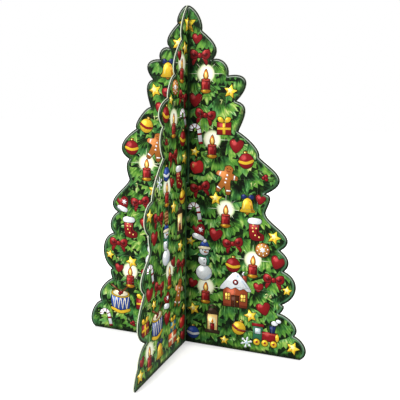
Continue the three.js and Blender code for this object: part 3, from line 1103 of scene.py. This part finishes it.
print("two crossing blocks are cut into",
      len(cut([block(0, 0, 2, 2), block(1, 1, 3, 3)], [])[1]), "triangles")

# %% Cut the four faces into inks
TOUCHING = 1


def cut_face(face):
    """All the triangles of a face's ink, sorted by the piece that carries them. A triangle
    past the card's edge, or in the cut round a door, carries no ink."""
    outline = anticlockwise(face["loops"][0])
    windows = [anticlockwise(loop) for loop in face["loops"][1:]]
    doors = {node: anticlockwise(loop) for node, loop in face["doors"].items()}
    patches = face_patches(face)
    near = np.array([edge_distances(outline, p[0])[0].min() for p in patches])
    hit = np.array([inside(outline, p[0]).any() for p in patches])
    patches = [p for p, n, h in zip(patches, near, hit) if h or n < TOUCHING]
    loops = [outline] + windows + list(doors.values()) + [p[0] for p in patches]
    verts, triangles, owners = cut(loops, free_points(face))
    first_door = 1 + len(windows)
    first_patch = first_door + len(doors)
    pieces = {node: [] for node in doors}
    pieces[face["cover"]] = []
    names = list(doors)
    for triangle, owner in zip(triangles, owners):
        ids = set(owner)
        if 0 not in ids:
            continue
        at_door = [names[i - first_door] for i in ids if first_door <= i < first_patch]
        if not at_door and any(1 <= i < first_door for i in ids):
            continue
        top = max(ids)
        patch = patches[top - first_patch] if top >= first_patch else None
        pieces[at_door[0] if at_door else face["cover"]].append((triangle, patch))
    return verts, pieces


for face in FACES.values():
    face["flames"] = [((at[0], at[1] + FLAME_HEIGHT * size), size)
                      for name, at, size, turn in face["ornaments"] if name == "candle"]
    face["verts"], face["pieces"] = cut_face(face)
    print(face["name"], {n: len(t) for n, t in face["pieces"].items()})

# %% [markdown]
# ## Offset print on coated card
# The real face is printed in four inks on coated card and then varnished. A picture file
# would be one way to make it, but a shader can paint it as well, and stays sharp close by.
# Where no ornament lies, the ink is a bough, with brush strokes that fan out from the bough's
# own root, dark near the root and yellow-green at the tips. The sheets of ink made further on
# carry what the shader needs: each patch's ink, its own place, and how near the rim and the
# flames are.

# %% What the sheets of ink tell the print
print_ink, tree, out = new_material("offset_print_on_coated_card")
ink = add(tree, "Attribute", attribute_name="ink")
own = add(tree, "SeparateColor", {0: ink})
tone, hue, depth = own.outputs[:3]
near = add(tree, "SeparateColor", {0: add(tree, "Attribute", attribute_name="near")})
from_rim, rim_facing, flame_light = near.outputs[:3]
local = add(tree, "UVMap", uv_map="local")
here = add(tree, "TexCoord").outputs["Object"]
place_mm = add(tree, "VectorMath", {0: here, "Scale": 1 / MM}, operation="SCALE")
height = add(tree, "SeparateXYZ", {0: place_mm}).outputs["Z"]
print("the print reads", ink.attribute_name, "and", local.uv_map)

# %% [markdown]
# The strokes run along the bough, so their noise is read in the bough's polar place: the
# direction from its root, and the distance. Broad strokes are about 9 degrees of the fan wide
# and fine ones a third of that. Dabs of light leaves come in clusters some 18 mm across, the
# ground is blotchy at about 8 mm, and patches of cooler green are some 13 mm across.

# %% Boughs
flat = add(tree, "SeparateXYZ", {0: local})
reach = add(tree, "VectorMath", {0: local}, operation="LENGTH").outputs["Value"]
down = add(tree, "Math", {0: flat.outputs["Y"], 1: -1}, operation="MULTIPLY")
angle = add(tree, "Math", {0: flat.outputs["X"], 1: down}, operation="ARCTAN2")
seed = add(tree, "Math", {0: hue, 1: 50}, operation="MULTIPLY")
fan = add(tree, "CombineXYZ", {"X": angle, "Y": reach, "Z": seed})
broad = add(tree, "VectorMath", {0: fan, 1: (6.5, 2.6, 1)}, operation="MULTIPLY")
fine = add(tree, "VectorMath", {0: fan, 1: (22, 4.5, 1)}, operation="MULTIPLY")
leaf = add(tree, "VectorMath", {0: fan, 1: (10, 3.4, 1.7)}, operation="MULTIPLY")
strokes = add(tree, "TexNoise", {"Vector": broad, "Scale": 1, "Detail": 1.5, "Roughness": 0.6})
hairs = add(tree, "TexNoise", {"Vector": fine, "Scale": 1, "Detail": 2, "Roughness": 0.6})
leaves = add(tree, "TexNoise", {"Vector": leaf, "Scale": 1, "Detail": 1})
clusters = add(tree, "TexNoise", {"Vector": place_mm, "Scale": 0.055, "Detail": 1})
ground = add(tree, "TexNoise", {"Vector": place_mm, "Scale": 0.13, "Detail": 3})
patches = add(tree, "TexNoise", {"Vector": place_mm, "Scale": 0.075, "Detail": 2})
many = add(tree, "MapRange", {"Value": clusters, "From Min": 0.42, "From Max": 0.62,
                              "To Min": 0.06, "To Max": 0.34})
dabs = add(tree, "MapRange", {"Value": leaves, "From Min": 0.5, "From Max": 0.6,
                              "To Max": many}, interpolation_type="SMOOTHSTEP")
light = add(tree, "MapRange", {"Value": reach, "From Min": 0.3, "From Max": 0.72,
                               "To Min": 0.0, "To Max": 0.5}, interpolation_type="SMOOTHSTEP")
for source, weight in ((strokes, 0.78), (hairs, 0.34), (ground, 0.7), (tone, 0.26)):
    light = add(tree, "Math", {0: source, 1: weight, 2: light}, operation="MULTIPLY_ADD")
light = add(tree, "Math", {0: light, 1: dabs})
bright = add(tree, "MapRange", {"Value": light, "From Min": 0.97, "From Max": 1.98})
lit = add(tree, "Math", {0: bright, 1: depth}, operation="MULTIPLY")
greens = add(tree, "ValToRGB", {"Fac": lit}, stops=[
    (0.0, "#070d02"), (0.14, "#14260b"), (0.3, "#2b4f1b"), (0.48, "#467b2c"),
    (0.66, "#649539"), (0.84, "#8cb04f"), (1.0, "#b9c876")])
blues = add(tree, "ValToRGB", {"Fac": lit}, stops=[
    (0.0, "#060e07"), (0.2, "#112a14"), (0.42, "#235029"), (0.64, "#3f7d42"),
    (0.84, "#6ea563"), (1.0, "#abc892")])
cooler = add(tree, "MapRange", {"Value": patches, "From Min": 0.45, "From Max": 0.62,
                                "To Max": 0.85})
green = add(tree, "MixRGB", {0: cooler, 1: greens, 2: blues})
print("the boughs take", len(tree.nodes), "nodes")

# %% Glow of the flames and paint of the ornaments
glow = add(tree, "MapRange", {"Value": flame_light, "From Min": 0.02, "From Max": 0.34,
                              "To Max": 0.96}, interpolation_type="SMOOTHSTEP")
cream = add(tree, "ValToRGB", {"Fac": flame_light}, stops=[
    (0.12, "#bccb92"), (0.4, "#e2e8c4"), (0.72, "#fbfae6")])
foliage = add(tree, "MixRGB", {0: glow, 1: green, 2: cream})

# An ornament is lit from its upper left and shaded at its lower right, with a small shine.
LIGHT_SIDE = (-0.35, 0.45, 0)
gap = add(tree, "VectorMath", {0: local, 1: LIGHT_SIDE}, operation="DISTANCE").outputs["Value"]
shade = add(tree, "MapRange", {"Value": gap, "From Min": 0.3, "From Max": 1.7, "To Min": 0.99,
                               "To Max": 0.53}, interpolation_type="SMOOTHSTEP")
grain = add(tree, "TexNoise", {"Vector": place_mm, "Scale": 0.9, "Detail": 3})
paint = add(tree, "MapRange", {"Value": grain, "From Min": 0.25, "From Max": 0.75,
                               "To Min": 0.84, "To Max": 1.14})
level = add(tree, "Math", {0: shade, 1: paint}, operation="MULTIPLY")
shaded = add(tree, "VectorMath", {0: ink, "Scale": level}, operation="SCALE")
spot = add(tree, "MapRange", {"Value": gap, "From Min": 0.1, "From Max": 0.5, "To Min": 1.0,
                              "To Max": 0.0}, interpolation_type="SMOOTHSTEP")
glint = add(tree, "VectorMath", {0: shaded, 1: (2.1, 2.1, 2.1), 2: (0.06, 0.05, 0.05)},
            operation="MULTIPLY_ADD")
ornament = add(tree, "MixRGB", {0: spot, 1: shaded, 2: glint})
plain = add(tree, "MixRGB", {0: ink.outputs["Alpha"], 1: foliage, 2: ornament})
print("the print is lit from", LIGHT_SIDE)

# %% [markdown]
# Next to the crossing line the art is darkened with painted shade, where the other board shades the
# corner. Towards the rim it fades into a ragged dark zone: the print's dark border, with painted
# shade that makes it wider where the edge doesn't face up. On the lower lobes a band of mid green
# lies over it, and where the edge faces up, a thin pale painted highlight shows the light that the
# pressed rim catches. Distances from the rim are in units of 10 mm here, and heights are in
# millimetres.

# %% Painted shade along the crossing line
level_place = add(tree, "VectorMath", {0: place_mm, 1: (1, 1, 0)}, operation="MULTIPLY")
from_line = add(tree, "VectorMath", {0: level_place}, operation="LENGTH").outputs["Value"]
# Painted shade in the corner by the crossing line: the art darkens towards the line, down to 0.3 of
# its brightness below 345 mm, and the shade fades out by 368 mm, under the top star.
darkest_corner_shade = add(tree, "MapRange", {"Value": height, "From Min": 345, "From Max": 368,
                                 "To Min": 0.3, "To Max": 1.0})
inner = add(tree, "MapRange", {"Value": from_line, "From Min": 1.5, "From Max": 15,
                               "To Min": darkest_corner_shade, "To Max": 1.0},
            interpolation_type="SMOOTHSTEP")
art = add(tree, "VectorMath", {0: plain, "Scale": inner}, operation="SCALE")
print("boughs, ornaments and crossing line take", len(tree.nodes), "nodes")

# %% The rim, with painted shade and a painted highlight
# The dark zone inside the rim is the print's dark border, and painted shade makes it reach further
# in where the edge doesn't face up.
tips = add(tree, "TexNoise", {"Vector": place_mm, "Scale": 0.3, "Detail": 1})
ragged = add(tree, "Math", {0: tips, 1: 0.5, 2: from_rim}, operation="MULTIPLY_ADD")
dark_and_shade_reach = add(tree, "MapRange", {"Value": rim_facing, "From Min": 0.55, "From Max": 0.85,
                              "To Min": 0.8, "To Max": 0.52})
border_and_shade = add(tree, "MapRange", {"Value": ragged, "From Min": 0.4, "From Max": dark_and_shade_reach,
                                "To Min": 0.88, "To Max": 0.0},
             interpolation_type="SMOOTHSTEP")
rim_dark_and_shade = add(tree, "MixRGB", {0: border_and_shade, 1: art, 2: linear("#0b1508")})

opens = add(tree, "MapRange", {"Value": from_rim, "From Min": 0.06, "From Max": 0.1})
closes = add(tree, "MapRange", {"Value": from_rim, "From Min": 0.22, "From Max": 0.32,
                                "To Min": 1.0, "To Max": 0.0})
lower = add(tree, "MapRange", {"Value": height, "From Min": 270, "From Max": 130,
                               "To Min": 0.1, "To Max": 0.85})
on_lobes = add(tree, "MapRange", {"Value": rim_facing, "From Min": 0.02, "From Max": 0.12,
                                  "To Max": lower})
width = add(tree, "Math", {0: opens, 1: closes}, operation="MULTIPLY")
band = add(tree, "Math", {0: width, 1: on_lobes}, operation="MULTIPLY")
brushed = add(tree, "MixRGB", {0: ground, 1: linear("#1c4029"), 2: linear("#5b8c62")})
banded = add(tree, "MixRGB", {0: band, 1: rim_dark_and_shade, 2: brushed})

# Painted highlight: a thin pale line just inside the rim where the edge faces up, standing for the
# light the pressed rim catches.
starts = add(tree, "MapRange", {"Value": from_rim, "From Min": 0.03, "From Max": 0.05})
ends = add(tree, "MapRange", {"Value": from_rim, "From Min": 0.1, "From Max": 0.14,
                              "To Min": 1.0, "To Max": 0.0})
at_edge = add(tree, "Math", {0: starts, 1: ends}, operation="MULTIPLY")
faces_up = add(tree, "MapRange", {"Value": rim_facing, "From Min": 0.5, "From Max": 0.9,
                                  "To Max": 0.88})
rim_highlight = add(tree, "Math", {0: at_edge, 1: faces_up}, operation="MULTIPLY")
rimmed = add(tree, "MixRGB", {0: rim_highlight, 1: banded, 2: linear("#a3ae9f")})
print("boughs, ornaments and rim take", len(tree.nodes), "nodes")

# %% Varnish
# A thin varnish on coated card gives a weak, broad shine, a little uneven from the fibres.
fibres = add(tree, "TexNoise", {"Vector": place_mm, "Scale": 4.5, "Detail": 3})
relief = add(tree, "Bump", {"Height": fibres, "Strength": 0.08, "Distance": 0.00005})
rough = add(tree, "MapRange", {"Value": fibres, "To Min": 0.42, "To Max": 0.58})
shader = add(tree, "BsdfPrincipled", {"Base Color": rimmed, "Roughness": rough, "Normal": relief,
                                      "Specular IOR Level": 0.06})
tree.links.new(shader.outputs["BSDF"], out.inputs["Surface"])
print("the varnished print has", len(tree.nodes), "nodes")

# %% [markdown]
# ## Raw card
# The card itself shows where no ink lies: pale, faintly fibrous board on the cut edges, on the
# backs of the doors and round the windows. On the pressed slope of the rim, the print wraps
# down over the card in a very dark green, a little lighter where the slope faces up, which is a
# painted highlight. Cut edges, flat sides and the slope are told apart by how far the surface
# leans away from the board's own flat side.

# %% Raw and printed card
THROUGH_AXIS = {"side_tree": "Y", "front_tree": "X"}
SLOPE_TILT, FLAT_TILT = 0.85, 0.995
card = {}
for name, axis in THROUGH_AXIS.items():
    card[name], tree, out = new_material("die_cut_coated_card_" + name)
    coordinates = add(tree, "TexCoord")
    place_mm = add(tree, "VectorMath", {0: coordinates.outputs["Object"], "Scale": 1 / MM},
                   operation="SCALE")
    faces_to = add(tree, "SeparateXYZ", {0: coordinates.outputs["Normal"]})
    tilt = add(tree, "Math", {0: faces_to.outputs[axis]}, operation="ABSOLUTE")
    fibres = add(tree, "TexNoise", {"Vector": place_mm, "Scale": 1.4, "Detail": 4})
    pulp = add(tree, "ValToRGB", {"Fac": fibres}, stops=[
        (0.3, "#a3ad94"), (0.5, "#b6bfa6"), (0.7, "#cbd1bd")])
    inner_white = add(tree, "ValToRGB", {"Fac": fibres}, stops=[
        (0.3, "#d3d1c4"), (0.5, "#e1dfd3"), (0.7, "#ebeade")])
    flat = add(tree, "Math", {0: tilt, 1: FLAT_TILT}, operation="GREATER_THAN")
    board = add(tree, "MixRGB", {0: flat, 1: pulp, 2: inner_white})
    steep = add(tree, "Math", {0: tilt, 1: SLOPE_TILT}, operation="GREATER_THAN")
    not_flat = add(tree, "Math", {0: tilt, 1: FLAT_TILT}, operation="LESS_THAN")
    slope = add(tree, "Math", {0: steep, 1: not_flat}, operation="MULTIPLY")
    # Painted highlight: where the slope faces up, its dark green is lifted a little towards pale.
    lift = add(tree, "MapRange", {"Value": faces_to.outputs["Z"], "From Min": 0.02,
                                  "From Max": 0.2, "To Max": 0.05})
    slope_print_and_highlight = add(tree, "MixRGB", {0: lift, 1: linear("#050904"), 2: linear("#a9afa0")})
    colour = add(tree, "MixRGB", {0: slope, 1: board, 2: slope_print_and_highlight})
    relief = add(tree, "Bump", {"Height": fibres, "Strength": 0.2, "Distance": 0.00005})
    shader = add(tree, "BsdfPrincipled", {"Base Color": colour, "Roughness": 0.6,
                                          "Specular IOR Level": 0.12, "Normal": relief})
    tree.links.new(shader.outputs["BSDF"], out.inputs["Surface"])

for name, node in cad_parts.items():
    of_door = [face["tree"] for face in FACES.values() if name in face["doors"]]
    board = of_door[0] if of_door else name[:name.index("_tree") + len("_tree")]
    for slot in node.material_slots:
        slot.material = card[board]
print("card on", len(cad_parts), "pieces")

# %% [markdown]
# ## The sheets of ink
# Each piece of card gets its own thin, closed sheet of ink, 16 thousandths of a millimetre
# thick, and rides on the same body. So a door carries its part of the picture outwards. The
# triangles of the cut make the under side, and an extrusion gives the sheet its thickness.

# %% Helpers for a sheet of ink
INK_LIFT = 0.000004
INK_THICKNESS = 0.000016
GAP_INK = (0.5, 0.5, 0.0, 0.0)
RIM_SPAN = 10
HALO_REACH, HALO_FADE = 9.2, 5.2


def own_places(flat, index, patches):
    """Each corner's place in its patch's own frame, in which the patch reaches to about 1."""
    middles = np.array([p[2][0] for p in patches])
    turns = np.array([p[2][1:] for p in patches])
    offsets = flat[index] - middles[:, None]
    cos, sin = turns[:, None, 0], turns[:, None, 1]
    return np.stack([offsets[..., 0] * cos + offsets[..., 1] * sin,
                     offsets[..., 1] * np.abs(cos) - offsets[..., 0] * sin], axis=2)


def nearness(face, flat, rim):
    """For each point: its distance from the rim in units of the rim's span, how far the rim
    there faces up, and the light of the nearest flame. A picture behind a door has neither."""
    gaps, upward = edge_distances(face["loops"][0], flat)
    light = np.zeros(len(flat))
    if not rim:
        gaps += RIM_SPAN
    for at, size in face["flames"] if rim else []:
        away = np.linalg.norm(flat - np.array(at), axis=1) / size
        light = np.maximum(light, np.clip((HALO_REACH - away) / HALO_FADE, 0, 1))
    return np.stack([np.clip(gaps / RIM_SPAN, 0, 1), upward * 0.5 + 0.5, light,
                     np.ones(len(flat))], 1)


def thicken(mesh, outwards):
    """The flat mesh, extruded to a closed sheet with its faces outwards."""
    bm = bmesh.new()
    bm.from_mesh(mesh)
    under = list(bm.faces)
    raised = bmesh.ops.extrude_face_region(bm, geom=under, use_keep_orig=True)["geom"]
    tops = [v for v in raised if isinstance(v, bmesh.types.BMVert)]
    bmesh.ops.translate(bm, verts=tops, vec=outwards * INK_THICKNESS)
    bmesh.ops.recalc_face_normals(bm, faces=bm.faces)
    bm.to_mesh(mesh)
    bm.free()


print("a sheet of ink is", INK_THICKNESS / MM, "mm thick")

# %% Make the ink sheets
def ink_sheet(name, face, height, verts, triangles, body, rim=True):
    """A closed sheet of ink from (corner numbers, patch) triangles, riding on a body."""
    corners = np.array([t for t, p in triangles])
    used, index = np.unique(corners, return_inverse=True)
    index = index.reshape(corners.shape)
    flat = np.array([tuple(verts[i]) for i in used])
    patches = [p if p else ((), GAP_INK, ((0, 0), 1, 0)) for t, p in triangles]
    inks = np.repeat([p[1] for p in patches], 3, axis=0)
    local = own_places(flat, index, patches)
    if face["reads"] < 0:
        index, local = index[:, ::-1], local[:, ::-1]
    mesh = bpy.data.meshes.new(name)
    mesh.from_pydata([frame_point(face, p, height) for p in flat], [], index.tolist())
    colours = mesh.attributes.new("ink", "FLOAT_COLOR", "CORNER")
    colours.data.foreach_set("color", inks.astype(np.float32).ravel())
    layer = mesh.uv_layers.new(name="local")
    layer.uv.foreach_set("vector", local.reshape(-1, 2).astype(np.float32).ravel())
    near = mesh.attributes.new("near", "FLOAT_COLOR", "POINT")
    near.data.foreach_set("color", nearness(face, flat, rim).astype(np.float32).ravel())
    thicken(mesh, face["out"])
    mesh.materials.append(print_ink)
    sheet = bpy.data.objects.new(name, mesh)
    scene.collection.objects.link(sheet)
    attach(sheet, body)


for face in FACES.values():
    for node, triangles in face["pieces"].items():
        is_door = node in face["doors"]
        body = node if is_door else face["tree"]
        slot = "printed_door" if is_door else "printed_cover"
        ink_sheet("ink_" + node, face, outer_height(node, face) + INK_LIFT, face["verts"],
                  triangles, body)
    print(face["name"], "ink:", sum(len(t) for t in face["pieces"].values()), "triangles")

# %% [markdown]
# ## The surprise behind every door
# The inner sheet carries one small picture under each door: an ornament on snow, before a
# plain sky. The print runs a little past the window in dark green, which paints shade into the
# cut round a closed door, so that it looks like a fine dark line.

# %% Draw the picture for a door
SKIES = ["#b9d6ea", "#f0dcae", "#e6b9b0", "#c3d9b4", "#c9bfe0", "#f3cf9a"]
SURPRISES = ["bell", "apple", "mitten", "heart", "gift", "drum", "star", "cane", "lantern",
             "biscuit", "cone", "red bauble", "train", "holly", "snowflake", "gingerbread",
             "bow", "blue bauble", "candle", "gold bauble", "cottage", "parcels", "stocking"]
LAST_SURPRISE = {24: "snowman"}
BLEED, SKY_MARGIN, SNOW_MARGIN = 0.9, 1, 0.6
FLAKES, FLAKE_SIZE = 9, 0.5
FILL, DROP = 0.42, 0.6


def picture(number, door, reads):
    """The picture for a door, as patches over the door's box and a little beyond."""
    left, right = min(p[0] for p in door), max(p[0] for p in door)
    low, high = min(p[1] for p in door), max(p[1] for p in door)
    wide, tall = right - left, high - low
    middle = ((left + right) / 2, (low + high) / 2)
    x_end, y_end = wide / 2, tall / 2
    chance = random.Random(number)
    hills = soft([(SNOW_MARGIN - x_end, SNOW_MARGIN - y_end),
                  (x_end - SNOW_MARGIN, SNOW_MARGIN - y_end),
                  (x_end - SNOW_MARGIN, -tall * 0.2), (0, -tall * 0.12),
                  (SNOW_MARGIN - x_end, -tall * 0.24)], 4)
    shapes = [
        # Dark green print past the window, which paints shade into the cut round a closed door.
        mark("#1d3016", block(-x_end - BLEED, -y_end - BLEED, x_end + BLEED, y_end + BLEED)),
        mark(SKIES[number % len(SKIES)], block(SKY_MARGIN - x_end, SKY_MARGIN - y_end,
                                               x_end - SKY_MARGIN, y_end - SKY_MARGIN)),
        mark(SNOW, [(x, max(y, SKY_MARGIN - y_end)) for x, y in hills]),
    ]
    for i in range(FLAKES):
        x, y = chance.uniform(-0.42, 0.42) * wide, chance.uniform(-0.05, 0.44) * tall
        shapes.append(mark("#ffffff", oval(x, y, FLAKE_SIZE, FLAKE_SIZE, 6)))
    name = LAST_SURPRISE.get(number, SURPRISES[number % len(SURPRISES)])
    drawing, reach, size = ORNAMENTS[name]
    fit = FILL * min(wide, tall) / reach * size
    patches = inked(place(shapes, middle, 1, 0, reads), reads)
    return patches + inked(place(drawing(), (middle[0], middle[1] - DROP), fit, 0, reads), reads)


print(len(SURPRISES), "kinds of surprise, and for the last door:", LAST_SURPRISE)

# %% Print the pictures on the inner sheets
for face in FACES.values():
    sheet = face["tree"] + "_inner_sheet"
    triangles, verts = [], []
    for node, door in face["doors"].items():
        patches = picture(int(node[len("door_"):]), door, face["reads"])
        points, corners, owners = cut([p[0] for p in patches], [])
        triangles += [([i + len(verts) for i in corner], patches[max(owner)])
                      for corner, owner in zip(corners, owners) if owner]
        verts += points
    ink_sheet("pictures_" + face["name"], face, outer_height(sheet, face) + INK_LIFT, verts,
              triangles, face["tree"], rim=False)
    print(face["name"], "pictures:", len(triangles), "triangles")
